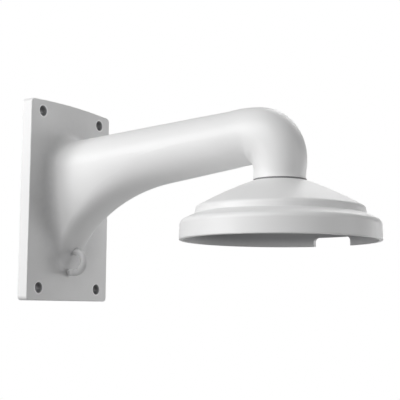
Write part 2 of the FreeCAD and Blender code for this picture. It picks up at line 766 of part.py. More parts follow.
def make_screw(index):
    """A socket head screw, pointing up into the neck, with its head top at zero."""
    body = new_body(f"cap_screw_{index + 1}")
    stand_at_screw(body, index, HEAD_TOP)
    section = new_sketch(body, "screw_section", "XZ_Plane")
    head = "sizes.screw_head_diameter / 2"
    shank = "sizes.screw_shank / 2"
    add_outline(section, [
        ("0", "-sizes.screw_head_height"), (head, "-sizes.screw_head_height"),
        (head, "0"), (shank, "0"), (shank, "sizes.screw_length"), ("0", "sizes.screw_length")])
    spin(body, "screw", section)
    socket = new_sketch(body, "socket_outline", "XY_Plane", out="-sizes.screw_head_height")
    add_outline(socket, around(6, "sizes.screw_socket / sqrt(3)"))
    extrude(body, "Pocket", "socket", socket, "sizes.screw_socket_depth", back=True)
    return body


def make_joint():
    """The gasket and the three sets of screw, lock washer and flat washer."""
    bodies = [make_gasket()]
    for index in range(CAP_SCREWS):
        bodies.append(make_ring(
            "flat_washer", index, "sizes.washer_diameter", "sizes.washer_thickness", CROWN_FACE))
        bodies.append(make_ring(
            "lock_washer", index, "sizes.lock_diameter", "sizes.lock_thickness", LOCK_TOP,
            "sizes.lock_split"))
        bodies.append(make_screw(index))
    return bodies


def check(bodies):
    """Stop if any object failed or any body isn't one valid solid."""
    doc.recompute()
    for item in doc.Objects:
        if "Invalid" in item.State or "Error" in item.State:
            raise RuntimeError(f"{item.Label} failed: {item.State}")
    for body in bodies:
        shape = body.Shape
        if shape.isNull() or not shape.isValid() or len(shape.Solids) != 1:
            raise RuntimeError(f"{body.Label} isn't one valid solid")


parts = [make_arm(), make_cap()] + make_joint()
check(parts)
os.makedirs("parts", exist_ok=True)
for part in parts:
    part.Shape.exportStep(os.path.join("parts", part.Label + ".step"))
    print(part.Label, round(part.Shape.Volume, 1), part.Shape.BoundBox)
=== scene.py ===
"""A camera wall bracket: its finishes, its threaded screws, a studio and the camera.

The castings, the gasket and the washers keep their shape from the frame and get their
finish here. The cap screws and the cut threads are made here, each as one surface over
two parameters.
"""

import json
import math

import bpy
import numpy as np
from bpy.props import FloatProperty, FloatVectorProperty, IntProperty, PointerProperty
from bpy.types import Operator, Panel, PropertyGroup
from mathutils import Matrix, Vector


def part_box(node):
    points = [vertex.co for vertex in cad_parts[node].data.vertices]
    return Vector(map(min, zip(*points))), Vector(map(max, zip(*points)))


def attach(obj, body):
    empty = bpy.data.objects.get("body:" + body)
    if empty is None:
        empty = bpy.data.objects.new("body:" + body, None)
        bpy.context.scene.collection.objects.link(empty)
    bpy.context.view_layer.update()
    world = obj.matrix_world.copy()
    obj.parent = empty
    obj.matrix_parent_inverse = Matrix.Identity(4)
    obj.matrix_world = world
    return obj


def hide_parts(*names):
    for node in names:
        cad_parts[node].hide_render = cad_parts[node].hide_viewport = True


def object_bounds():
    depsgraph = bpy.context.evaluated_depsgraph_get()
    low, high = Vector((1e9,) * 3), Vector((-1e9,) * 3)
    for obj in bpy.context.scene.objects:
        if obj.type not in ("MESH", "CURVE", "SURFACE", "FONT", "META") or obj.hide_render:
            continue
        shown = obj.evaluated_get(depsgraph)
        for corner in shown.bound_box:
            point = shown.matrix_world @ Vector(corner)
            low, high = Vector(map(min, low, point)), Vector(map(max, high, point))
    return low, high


bl_info = {
    "name": "Camera wall bracket",
    "version": (1, 0, 0),
    "blender": (4, 5, 0),
    "location": "View3D > Sidebar > Bracket",
    "description": "Finishes a camera wall bracket and sets it in a plain studio",
    "category": "Object",
}

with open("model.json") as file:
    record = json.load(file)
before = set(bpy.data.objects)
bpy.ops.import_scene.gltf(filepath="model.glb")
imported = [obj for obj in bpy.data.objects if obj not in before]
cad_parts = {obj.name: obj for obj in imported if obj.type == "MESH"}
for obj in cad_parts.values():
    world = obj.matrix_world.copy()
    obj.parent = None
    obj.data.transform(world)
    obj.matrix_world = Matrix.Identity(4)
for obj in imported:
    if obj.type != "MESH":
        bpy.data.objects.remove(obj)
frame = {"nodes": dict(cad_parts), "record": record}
CAD_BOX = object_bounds()

SCREWS = ("cap_screw_1", "cap_screw_2", "cap_screw_3")
WASHERS = ("flat_washer_1", "flat_washer_2", "flat_washer_3",
           "lock_washer_1", "lock_washer_2", "lock_washer_3")
LAMPS = ("key", "top", "side", "front", "back", "low", "under", "rim")
TURN = 2 * math.pi
MM = 0.001

# The finishes
NOISE_MEAN = 0.5             # what a noise gives on average
BROAD_SIZE = 0.036           # width of the broadest unevenness, in metres
BROAD_SHARE = 0.7            # its share of the mottle, the rest being the fine grain
SHADED_CORE = 0.8              # share of the eye's bar under its full painted shade
TURNED_AWAY = (-0.3, -0.9)   # how far a face turns away as it darkens, start and end: painted shade inside the cap, a darker wall side

# The screws and threads
SHARP = math.radians(40)     # edges that turn more than this stay sharp
SOCKET_SIDES = 6
EDGE_ROWS = 5                # rings round the head's edge
GRIP_ROWS = 4                # rings along the head's grip lines
GRIP_MARGIN = 1.5            # from the head's ends to its grip, in edges
CREST_SLOPE = 1.5            # how much a thread's wave is steepened, which flattens its crest
CREST_DROP = 0.2             # how far it is lowered then, which flattens its root
RUNOUT_TURNS = 2             # turns in which the thread fades under the head
TIP_DEPTHS = 1.5             # how far the tip is drawn in, in thread depths
RIDGE_FADE = TURN / 2        # angle in which a cut thread reaches its full height
RIDGE_END = 0.042            # share of its height at its very ends
BORE_TURNS = (math.pi, -math.pi / 3, math.pi / 3)   # where round the hub the bores stand

# The studio
FLOOR_REACH = 30             # half the floor's width, in metres
FLOOR_ROUGHNESS = 0.9
SENSOR = 36                  # width of the camera's sensor, in millimetres
NEAREST, FARTHEST = 0.01, 100   # between what distances the camera sees, in metres

MOUNTS = {mount["name"]: mount for mount in frame["record"]["mounts"]}
WALL_HOLES = MOUNTS["wall_holes"]["dims"]
CAMERA_SCREWS = MOUNTS["camera_screws"]["dims"]


def centre(name):
    """The middle of a CAD node's box."""
    low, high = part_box(name)
    return (Vector(low) + Vector(high)) / 2


CAP_AXIS = centre("dome_cap")


def length(label, about, default):
    """A size in metres."""
    return FloatProperty(name=label, description=about, default=default, min=0,
                         subtype="DISTANCE", unit="LENGTH", precision=6)


def share(label, about, default):
    """A share from none to all."""
    return FloatProperty(name=label, description=about, default=default, min=0, max=1,
                         subtype="FACTOR")


def colour(label, about, default):
    """A plain colour."""
    return FloatVectorProperty(name=label, description=about, default=default, size=3,
                               min=0, max=1, subtype="COLOR")


def point(label, about, default):
    """A place, in metres."""
    return FloatVectorProperty(name=label, description=about, default=default, size=3,
                               subtype="TRANSLATION", unit="LENGTH", precision=6)


def lamp(label, turn, rise, power):
    """A soft lamp: its turn and rise as seen from the bracket, in degrees, and its watts."""
    return FloatVectorProperty(name=label, description="Turn and rise in degrees, then watts",
                               default=(turn, rise, power), size=3)


class CoatSettings(PropertyGroup):
    """The powder coat of the castings, with its painted shade, its painted highlights round the
    holes and its darker wall side.
    """

    coat: colour("Coat", "Colour of the powder coat", (0.80, 0.80, 0.80))
    # Painted shade: the colour the coat darkens to inside the cap, round the arm's root, on the
    # eye and in the wall holes; the wall side darkens to it too.
    darkened: colour("Thin coat", "Colour where the coat hardly reaches", (0.44, 0.44, 0.45))
    # Painted shade deep in the wall holes and in the corners at the eye's feet.
    deep_shade: colour("Primer", "Colour of the bare hole walls", (0.28, 0.28, 0.285))
    roughness: share("Roughness", "How matt the coat is", 0.42)
    darkened_roughness: share("Thin roughness", "How much rougher a thin coat is", 0.25)
    tone: share("Tone", "How much the coat's lightness varies", 0.05)
    sheen: share("Sheen", "How much the coat's roughness varies", 0.12)
    patches: share("Patches", "How uneven the edge of a thin coat is", 0.9)
    patch_size: length("Patch size", "Width of the patches in a thin coat", 0.006)
    peel_size: length("Peel size", "Width of the coat's soft waves", 0.0016)
    peel_depth: length("Peel depth", "Depth of the coat's soft waves", 0.000012)
    grain_size: length("Grain size", "Width of the coat's fine grain", 0.00035)
    grain: share("Grain", "Height of the grain as a share of the waves", 0.3)
    hole_across: length("Hole distance", "From the middle to the wall holes, sideways",
                        WALL_HOLES["spacing_x_mm"] / 2 * MM)
    hole_up: length("Hole height", "From the middle to the wall holes, upwards",
                    WALL_HOLES["spacing_y_mm"] / 2 * MM)
    hole_radius: length("Hole radius", "Radius of the wall holes", WALL_HOLES["hole_r_mm"] * MM)
    # Painted shade in the wall holes: their walls darken, more so deeper in.
    hole_lip: length("Hole lip", "How far the bare wall reaches past a hole's edge", 0.0002)
    hole_shade_depth: length("Hole rest", "How deep some coat reaches into the holes", 0.0045)
    # Painted highlight: a light ring round each wall hole.
    bead: colour("Highlight", "Colour of the full bead of coat round the holes", (0.97, 0.97, 0.97))
    highlight_width: length("Bead width", "Width of the bead round the holes", 0.0019)
    # Painted shade in the corner round the arm's root on the plate.
    root_middle: point("Root middle", "Middle of the arm's root on the plate", (0.0105, 0, 0.004))
    root_half: FloatVectorProperty(
        name="Root half", description="Half the root's width and height", size=2,
        subtype="XYZ", unit="LENGTH", default=(0.036, 0.052))
    root_reach: FloatProperty(
        name="Root reach", description="How far the thin coat spreads, in root sizes",
        default=1.8, min=1.1)
    root_rise: length("Root rise", "How far the thin coat climbs up the arm", 0.012)
    root_shade: share("Root wear", "How thin the coat is in the corner round the root", 0.35)
    # Painted shade on the safety eye's bar.
    eye_bend: length("Eye bend", "Radius of the safety eye's bend", 0.0097)
    eye_bar: length("Eye bar", "Half the safety eye's thickness, with the worn edge", 0.0045)
    eye_shade: share("Eye wear", "How thin the coat is on the safety eye", 0.4)
    # Painted shadows in the corners at the eye's two feet.
    upper_foot: point("Upper foot", "Corner below the safety eye's upper foot",
                      (0.0158, -0.0032, -0.0482))
    lower_foot: point("Lower foot", "Corner beside the safety eye's lower foot",
                      (0.0116, -0.0026, -0.0660))
    foot_size: length("Foot size", "Reach of the dark corner at each foot of the eye", 0.0048)
    foot_shade: share("Foot dark", "How thin the coat is in the feet's corners", 0.8)
    plate_depth: length("Plate depth", "How far the plate stands off the wall", 0.0105)
    # The plate's faces turned to the wall are made darker.
    wall_side: share("Wall side", "How thin the coat is on the wall side", 0.35)
    # Painted shade inside the cap fades in over this height above its rim's lower edge.
    rim_reach: length("Rim reach", "How far the full coat reaches up inside the rim", 0.009)


class MetalSettings(PropertyGroup):
    """The steel of the screws and washers, and the rubber of the gasket."""

    steel: colour("Steel", "Colour of the plated steel", (0.62, 0.61, 0.59))
    steel_roughness: share("Steel roughness", "How matt the steel is", 0.32)
    steel_marks: length("Steel marks", "Width of the marks in the plating", 0.0011)
    steel_depth: length("Mark depth", "Depth of the marks in the plating", 0.000004)
    rubber: colour("Rubber", "Colour of the gasket", (0.17, 0.17, 0.172))
    rubber_bloom: colour("Rubber bloom", "Colour of the bloom on the gasket", (0.27, 0.27, 0.272))
    rubber_roughness: share("Rubber roughness", "How matt the gasket is", 0.7)
    rubber_cells: length("Rubber cells", "Width of the cells in the rubber", 0.0007)
    rubber_depth: length("Cell depth", "Depth of the cells in the rubber", 0.00004)
    grain_size: length("Grain size", "Width of the finest marks", 0.0002)
    grain: share("Grain", "Height of the finest marks as a share of the others", 0.6)
    variation: share("Variation", "How much the roughness varies", 0.2)


class ScrewSettings(PropertyGroup):
    """The cap screws and the cut threads."""

    head_height: length("Head height", "Height of the head", 0.005)
    head_edge: length("Head edge", "Round along the head's end", 0.0005)
    socket: length("Socket", "Width across the flats of the socket", 0.004)
    socket_depth: length("Socket depth", "Depth of the socket", 0.0025)
    socket_edge: length("Socket edge", "Bevel round the socket's mouth", 0.00025)
    drill_point: length("Drill point", "Depth of the cone in the socket's floor", 0.0006)
    shank: length("Shank", "Outer diameter of the thread", 0.0049)
    pitch: length("Pitch", "Rise of the thread in one turn", 0.0008)
    thread_depth: length("Thread depth", "Depth of the thread", 0.00042)
    knurl_depth: length("Knurl depth", "Depth of the grip lines round the head", 0.00013)
    knurls: IntProperty(name="Knurls", description="Grip lines round the head", default=36, min=3)
    around: IntProperty(name="Steps around", description="Steps round the screw", default=144,
                        min=24)
    per_turn: IntProperty(name="Steps a turn", description="Rings in one turn of the thread",
                          default=12, min=4)
    tapped: length("Tapped bore", "Diameter of the tapped camera bores",
                   CAMERA_SCREWS["hole_r_mm"] * 2 * MM)
    tapped_depth: length("Tapped depth", "Length of the cut thread", 0.0085)
    ridge: length("Ridge", "Height of the cut thread", 0.00022)
    ridge_root: length("Ridge root", "How deep the ridge's foot lies in the bore's wall", 0.00002)
    ridge_half: share("Ridge half", "Half the ridge's width as a share of the pitch", 0.42)
    ridge_steps: IntProperty(name="Ridge steps", description="Steps in one turn of the ridge",
                             default=48, min=12)


class StageSettings(PropertyGroup):
    """The floor, the lamps and the camera."""

    floor_drop: length("Floor drop", "How far the floor lies below the bracket", 1.3)
    floor: colour("Floor", "Colour of the plain floor", (0.86, 0.86, 0.86))
    floor_clear: length("Floor clear", "Where the floor starts to fade to the backdrop", 1.5)
    floor_faded: length("Floor faded", "Where the floor has the backdrop's colour", 3.2)
    floor_white: share("Floor white", "How far the near floor is lifted to the backdrop", 0.6)
    gloss: share("Gloss", "How light the backdrop is in reflections", 0.5)
    lamp_size: length("Lamp size", "Width of each round lamp", 1.0)
    lamp_distance: length("Lamp distance", "From the bracket to each lamp", 1.8)
    key: lamp("Key lamp", 240, 25, 13.2)
    top: lamp("Top lamp", 270, 40, 12.7)
    side: lamp("Side lamp", 228, 10, 7.6)
    front: lamp("Front lamp", 15, 10, 6.9)
    back: lamp("Back lamp", 90, 42, 6.8)
    low: lamp("Low lamp", 60, -4, 7.0)
    under: lamp("Under lamp", 270, -18, 4.2)
    rim: lamp("Rim lamp", 105, 6, 4.0)
    turn: FloatProperty(
        name="Turn", description="How far the camera stands round from the bracket's side",
        subtype="ANGLE", unit="ROTATION", default=math.radians(31.29))
    tilt: FloatProperty(
        name="Tilt", description="How far the camera looks up", subtype="ANGLE",
        unit="ROTATION", default=math.radians(6.48))
    roll: FloatProperty(
        name="Roll", description="How far the camera leans", subtype="ANGLE",
        unit="ROTATION", default=math.radians(0.48))
    distance: length("Distance", "From the camera to the middle of the view", 0.824)
    aim: point("Aim", "The point that the camera aims at", (0.1530, 0, -0.0048))
    lens: FloatProperty(
        name="Lens", description="Focal length on a 36 mm sensor, in millimetres",
        min=10, default=85.84)


# Nodes of the materials


def feed(tree, socket, value):
    """Link a socket to a node's output, or set it to a plain value."""
    if isinstance(value, bpy.types.NodeSocket):
        tree.links.new(value, socket)
    elif hasattr(value, "__len__") and socket.type == "RGBA":
        socket.default_value = (*value, 1)
    else:
        socket.default_value = value


def add_node(tree, kind, inputs=(), **settings):
    """A node with its settings, and its inputs given by name or place."""
    node = tree.nodes.new("ShaderNode" + kind)
    for name, value in settings.items():
        setattr(node, name, value)
    for name, value in dict(inputs).items():
        feed(tree, node.inputs[name], value)
    return node


def maths(tree, operation, *values):
    """The result of one math node."""
    return add_node(tree, "Math", enumerate(values), operation=operation).outputs[0]


def product(tree, result, *factors):
    """Values multiplied one after the other."""
    for factor in factors:
        result = maths(tree, "MULTIPLY", result, factor)
    return result


def largest(tree, result, *others):
    """The largest of some values."""
    for other in others:
        result = maths(tree, "MAXIMUM", result, other)
    return result


def vector_maths(tree, operation, *vectors):
    """The outputs of one vector math node."""
    return add_node(tree, "VectorMath", enumerate(vectors), operation=operation).outputs


def distance(tree, vector):
    """The length of a vector."""
    return vector_maths(tree, "LENGTH", vector)["Value"]


def from_point(tree, place, start):
    """The vector from a point to a place."""
    return vector_maths(tree, "SUBTRACT", place, start)[0]


def flat_distance(tree, first, second):
    """The distance whose two parts at right angles are given."""
    return distance(tree, add_node(tree, "CombineXYZ", {"X": first, "Y": second}).outputs[0])


def split(tree, vector):
    """The three parts of a vector."""
    return add_node(tree, "SeparateXYZ", {0: vector}).outputs


def blend(tree, factor, first, second):
    """A colour between two others."""
    node = add_node(tree, "Mix", data_type="RGBA")
    sockets = {socket.identifier: socket for socket in (*node.inputs, *node.outputs)}
    feed(tree, sockets["Factor_Float"], factor)
    feed(tree, sockets["A_Color"], first)
    feed(tree, sockets["B_Color"], second)
    return sockets["Result_Color"]


def ramp(tree, value, start, end):
    """A smooth step from 0 at the start to 1 at the end."""
    inputs = {"Value": value, "From Min": start, "From Max": end}
    return add_node(tree, "MapRange", inputs, interpolation_type="SMOOTHSTEP").outputs["Result"]


def noise(tree, place, size):
    """Soft noise whose waves are about as wide as size, in metres."""
    inputs = {"Vector": place, "Scale": maths(tree, "DIVIDE", 1.0, size)}
    return add_node(tree, "TexNoise", inputs).outputs["Fac"]


def scaled(tree, tint, factor):
    """A colour made lighter or darker by a factor."""
    return add_node(tree, "VectorMath", {0: tint, "Scale": factor}, operation="SCALE").outputs[0]


def fresh_group(name, inputs, outputs):
    """A shader node group with named inputs and outputs: its tree, input and output nodes."""
    tree = bpy.data.node_groups.new(name, "ShaderNodeTree")
    for label, kind in inputs:
        tree.interface.new_socket(label, in_out="INPUT", socket_type="NodeSocket" + kind)
    for label, kind in outputs:
        tree.interface.new_socket(label, in_out="OUTPUT", socket_type="NodeSocket" + kind)
    return tree, tree.nodes.new("NodeGroupInput").outputs, tree.nodes.new("NodeGroupOutput").inputs


def surface_group():
    """Soft waves under fine grain: the height and an even mottle that every finish uses."""
    inputs = (("Place", "Vector"), ("Wave size", "Float"), ("Grain size", "Float"),
              ("Grain", "Float"))
    outputs = (("Height", "Float"), ("Mottle", "Float"))
    tree, given, result = fresh_group("fine_surface", inputs, outputs)
    waves = noise(tree, given["Place"], given["Wave size"])
    grain = noise(tree, given["Place"], given["Grain size"])
    broad = noise(tree, given["Place"], BROAD_SIZE)
    feed(tree, result["Height"], maths(tree, "MULTIPLY_ADD", grain, given["Grain"], waves))
    mean = maths(tree, "ADD", product(tree, broad, BROAD_SHARE),
                 product(tree, grain, 1 - BROAD_SHARE))
    feed(tree, result["Mottle"], maths(tree, "SUBTRACT", mean, NOISE_MEAN))
    return tree


def coat_group():
    """The powder coat's colour and roughness, turned towards a dark colour by a mask that is
    mostly painted shade.
    """
    inputs = (("Place", "Vector"), ("Coat", "Color"), ("Dark", "Color"), ("Darkened", "Float"),
              ("Mottle", "Float"), ("Roughness", "Float"), ("Tone", "Float"), ("Sheen", "Float"),
              ("Patches", "Float"), ("Patch size", "Float"), ("Thin roughness", "Float"))
    outputs = (("Colour", "Color"), ("Roughness", "Float"))
    tree, given, result = fresh_group("powder_coat", inputs, outputs)
    patch = maths(tree, "SUBTRACT", noise(tree, given["Place"], given["Patch size"]), NOISE_MEAN)
    undarkened = maths(tree, "SUBTRACT", 1.0, given["Darkened"])
    uneven = product(tree, patch, given["Patches"], given["Darkened"], undarkened)
    darkening = add_node(tree, "Clamp", {"Value": maths(tree, "ADD", given["Darkened"], uneven)})
    lightness = maths(tree, "MULTIPLY_ADD", given["Mottle"], given["Tone"], 1.0)
    tone = scaled(tree, given["Coat"], lightness)
    feed(tree, result["Colour"], blend(tree, darkening.outputs[0], tone, given["Dark"]))
    rough = maths(tree, "MULTIPLY_ADD", given["Mottle"], given["Sheen"], given["Roughness"])
    feed(tree, result["Roughness"],
         maths(tree, "MULTIPLY_ADD", darkening.outputs[0], given["Thin roughness"], rough))
    return tree


def group_node(tree, name, make, inputs):
    """A node that uses a shared group, made the first time."""
    node = tree.nodes.new("ShaderNodeGroup")
    node.node_tree = bpy.data.node_groups.get(name) or make()
    for label, value in inputs.items():
        feed(tree, node.inputs[label], value)
    return node.outputs


def fine_surface(tree, place, wave_size, settings):
    """The shared waves and grain, with a finish's own sizes."""
    return group_node(tree, "fine_surface", surface_group, {
        "Place": place, "Wave size": wave_size, "Grain size": settings.grain_size,
        "Grain": settings.grain})


def fresh_material(name):
    """A new material: itself, its node tree, its Principled shader and Object coordinates."""
    material = bpy.data.materials.new(name)
    material.use_nodes = True
    tree = material.node_tree
    place = add_node(tree, "TexCoord").outputs["Object"]
    return material, tree, tree.nodes["Principled BSDF"], place


def give_bump(tree, shader, height, depth):
    """Bend the shader's normal by a height."""
    bump = add_node(tree, "Bump", {"Height": height, "Distance": depth, "Strength": 1.0})
    feed(tree, shader.inputs["Normal"], bump.outputs["Normal"])


def casting_material(name, settings, darkened_parts):
    """Powder coat over a casting.

    The given function gives the mask where the coat is darkened, mostly painted shade, the dark
    colour, and the mask of the painted highlights round the holes.
    """
    material, tree, shader, place = fresh_material(name)
    fine = fine_surface(tree, place, settings.peel_size, settings)
    darkened, dark_colour, bead = darkened_parts(tree, place, settings)
    # Painted highlight: the coat lightens in a ring round each wall hole.
    coat_colour = blend(tree, bead, settings.coat, settings.bead)
    coat = group_node(tree, "powder_coat", coat_group, {
        "Place": place, "Coat": coat_colour, "Dark": dark_colour, "Darkened": darkened,
        "Mottle": fine["Mottle"], "Roughness": settings.roughness, "Tone": settings.tone,
        "Sheen": settings.sheen, "Patches": settings.patches, "Patch size": settings.patch_size,
        "Thin roughness": settings.darkened_roughness})
    feed(tree, shader.inputs["Base Color"], coat["Colour"])
    feed(tree, shader.inputs["Roughness"], coat["Roughness"])
    give_bump(tree, shader, fine["Height"], settings.peel_depth)
    return material


def arm_darkened_parts(tree, place, settings):
    """Where the arm's coat darkens: painted shade in its wall holes, on its eye, at the eye's feet
    and round its root, and a darker wall side; and its painted highlights round the holes.
    """
    where = split(tree, place)
    across = maths(tree, "SUBTRACT", maths(tree, "ABSOLUTE", where["Y"]), settings.hole_across)
    up = maths(tree, "SUBTRACT", maths(tree, "ABSOLUTE", where["Z"]), settings.hole_up)
    away = flat_distance(tree, across, up)
    edge, face = settings.hole_radius, settings.plate_depth
    # Painted shade in the wall holes, darker deeper in; and a painted highlight in a ring round
    # each hole.
    hole = ramp(tree, away, edge + settings.hole_lip, edge)
    bead = ramp(tree, away, edge + settings.highlight_width, edge + settings.highlight_width / 2)
    deep = ramp(tree, where["X"], face, face - settings.hole_shade_depth)
    # The plate's faces turned to the wall are darker.
    facing = split(tree, add_node(tree, "NewGeometry").outputs["Normal"])
    behind = ramp(tree, facing["X"], *TURNED_AWAY)
    in_plate = maths(tree, "LESS_THAN", where["X"], face)
    back = product(tree, behind, in_plate, settings.wall_side)
    shaded, corner = eye_masks(tree, place, settings)
    darkened = largest(tree, hole, back, root_shade_mask(tree, where, settings), shaded, corner)
    dark = largest(tree, product(tree, hole, deep), corner)
    return darkened, blend(tree, dark, settings.darkened, settings.deep_shade), bead


def root_shade_mask(tree, where, settings):
    """Painted shade in the corner where the arm rises from its plate."""
    plate, *middle = settings.root_middle
    parts = [maths(tree, "DIVIDE", maths(tree, "SUBTRACT", where[label], start), half)
             for label, start, half in zip("YZ", middle, settings.root_half)]
    near = ramp(tree, flat_distance(tree, *parts), settings.root_reach, 1.0)
    low = ramp(tree, where["X"], plate + settings.root_rise, plate)
    return product(tree, near, low, settings.root_shade)


def eye_masks(tree, place, settings):
    """Painted shade on the safety eye's bar, and painted shadows in the corners at its two feet.

    A point's distance from the bar has two parts: its distance from the eye's middle in the
    eye's plane, less the bend's radius, and its distance from that plane.
    """
    aside = split(tree, from_point(tree, place, Vector(MOUNTS["safety_eye"]["pos_m"])))
    middle = flat_distance(tree, aside["X"], aside["Z"])
    bar = flat_distance(tree, maths(tree, "SUBTRACT", middle, settings.eye_bend), aside["Y"])
    on_bar = ramp(tree, bar, settings.eye_bar, settings.eye_bar * SHADED_CORE)
    out = ramp(tree, aside["X"], -settings.eye_bar, 0.0)
    # Painted shadows in the corners at the eye's feet.
    feet = [distance(tree, from_point(tree, place, foot))
            for foot in (settings.upper_foot, settings.lower_foot)]
    corner = ramp(tree, maths(tree, "MINIMUM", *feet), settings.foot_size, 0.0)
    return product(tree, on_bar, out, settings.eye_shade), product(tree, corner, settings.foot_shade)


def cap_painted_shade(tree, place, settings):
    """Painted shade inside the cap, on every face that looks down or to its axis."""
    where = split(tree, place)
    out_x = maths(tree, "SUBTRACT", where["X"], CAP_AXIS.x)
    outward = add_node(tree, "CombineXYZ", {"X": out_x, "Y": where["Y"]}).outputs[0]
    lifted = vector_maths(tree, "ADD", vector_maths(tree, "NORMALIZE", outward)[0], (0, 0, 1))[0]
    normal = add_node(tree, "NewGeometry").outputs["Normal"]
    along = vector_maths(tree, "DOT_PRODUCT", normal, lifted)["Value"]
    inside = ramp(tree, along, *TURNED_AWAY)
    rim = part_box("dome_cap")[0][2]
    above = ramp(tree, where["Z"], rim, rim + settings.rim_reach)
    return product(tree, inside, above), settings.darkened, 0.0


def steel_material(settings):
    """Plated steel, a little uneven."""
    material, tree, shader, place = fresh_material("plated_steel")
    fine = fine_surface(tree, place, settings.steel_marks, settings)
    lightness = maths(tree, "MULTIPLY_ADD", fine["Mottle"], settings.variation, 1.0)
    feed(tree, shader.inputs["Base Color"], scaled(tree, settings.steel, lightness))
    feed(tree, shader.inputs["Roughness"], maths(
        tree, "MULTIPLY_ADD", fine["Mottle"], settings.variation, settings.steel_roughness))
    shader.inputs["Metallic"].default_value = 1
    give_bump(tree, shader, fine["Height"], settings.steel_depth)
    return material


def rubber_material(settings):
    """Cellular rubber with a light bloom."""
    material, tree, shader, place = fresh_material("gasket_rubber")
    fine = fine_surface(tree, place, settings.rubber_cells, settings)
    bloom = maths(tree, "ADD", fine["Mottle"], NOISE_MEAN)
    feed(tree, shader.inputs["Base Color"],
         blend(tree, bloom, settings.rubber, settings.rubber_bloom))
    feed(tree, shader.inputs["Roughness"], maths(
        tree, "MULTIPLY_ADD", fine["Mottle"], settings.variation, settings.rubber_roughness))
    give_bump(tree, shader, fine["Height"], settings.rubber_depth)
    return material


def dress(name, material):
    """Give a CAD node one finish."""
    slots = frame["nodes"][name].data.materials
    slots.clear()
    slots.append(material)


def steel(context):
    """The steel finish, made the first time."""
    return bpy.data.materials.get("plated_steel") or steel_material(context.scene.bracket_metal)


# Surfaces over two parameters


def closed_mesh(name, rings, start, end):
    """A closed mesh from rings of points, an array of the shape (rings, steps, 3).

    Every quad spans two rings and two steps, and fans to the start and end points close it.
    """
    count, steps, _ = rings.shape
    points = np.concatenate([rings.reshape(-1, 3), [start, end]])
    first, last = len(points) - 2, len(points) - 1
    step = np.arange(steps)
    following = np.roll(step, -1)
    row = np.arange(count - 1)[:, None] * steps
    quads = np.stack([row + step, row + steps + step, row + steps + following,
                      row + following], -1)
    base = (count - 1) * steps
    fan_in = np.stack([np.full(steps, first), step, following], -1)
    fan_out = np.stack([np.full(steps, last), base + following, base + step], -1)
    faces = [*quads.reshape(-1, 4).tolist(), *fan_in.tolist(), *fan_out.tolist()]
    mesh = bpy.data.meshes.new(name)
    mesh.from_pydata(points, [], faces)
    mesh.shade_smooth()
    mesh.set_sharp_from_angle(angle=SHARP)
    return mesh


def add_piece(name, mesh, material):
    """A new piece that rides on the one body."""
    piece = bpy.data.objects.new(name, mesh)
    piece.data.materials.append(material)
    bpy.context.scene.collection.objects.link(piece)
    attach(piece, "root")
    return piece


def screw_mesh(name, settings, axis, low, high):
    """A socket screw as one surface of radius(height, angle), with its head at the low end.

    The socket's radius is half its width divided by the cosine of the angle from the nearest
    flat's middle. The head's radius dips with the cosine of the angle times the grip lines.
    The thread's rows come from thread_rows.
    """
    angle = np.arange(settings.around) * TURN / settings.around
    level = np.ones_like(angle)
    side = TURN / SOCKET_SIDES
    flat = settings.socket / 2 / np.cos((angle + side / 2) % side - side / 2)
    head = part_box(name)[1][0] - axis.x
    floor, under = low + settings.socket_depth, low + settings.head_height
    bevel, edge = settings.socket_edge, settings.head_edge
    rows = [(flat / 2, floor + settings.drill_point / 2), (flat, floor), (flat, low + bevel),
            (flat + bevel, low), (level * (head - 2 * edge), low)]
    rows += [(level * (head - edge + edge * math.sin(bend)), low + edge - edge * math.cos(bend))
             for bend in np.linspace(0, TURN / 4, EDGE_ROWS)]
    grip = head - settings.knurl_depth * (1 + np.cos(angle * settings.knurls)) / 2
    margin = GRIP_MARGIN * edge
    rows += [(grip, height) for height in np.linspace(low + margin, under - margin, GRIP_ROWS)]
    rows += [(level * head, under - edge), (level * (head - edge / 2), under)]
    rows += thread_rows(settings, angle, under, high)
    across = np.array([row[0] for row in rows])
    height = np.array([row[1] for row in rows])[:, None] * level
    rings = np.stack([axis.x + across * np.cos(angle), axis.y + across * np.sin(angle),
                      height], -1)
    socket_end = (axis.x, axis.y, floor + settings.drill_point)
    return closed_mesh(name, rings[::-1], (axis.x, axis.y, high), socket_end)


def thread_rows(settings, angle, under, high):
    """The rings of a thread from under the head to the tip, as (radius, height) rows.

    A ring's radius is the shank's, less a depth that follows a triangle wave, clipped at crest
    and root, of height / pitch less angle / turn. It fades under the head and at the tip.
    """
    pitch, depth, shank = settings.pitch, settings.thread_depth, settings.shank / 2
    heights = np.arange(under, high, pitch / settings.per_turn)
    wave = np.abs((heights[:, None] / pitch - angle / TURN) % 1 * 2 - 1)
    crest = np.clip(wave * CREST_SLOPE - CREST_DROP, 0, 1)
    runout = np.clip((heights - under) / pitch / RUNOUT_TURNS, 0, 1)[:, None]
    taper = np.clip((high - heights) / pitch, 0, 1)[:, None]
    radius = shank - depth * (1 - crest * taper) * runout
    tip = np.full_like(angle, shank - TIP_DEPTHS * depth)
    return [*zip(radius, heights), (tip, high)]


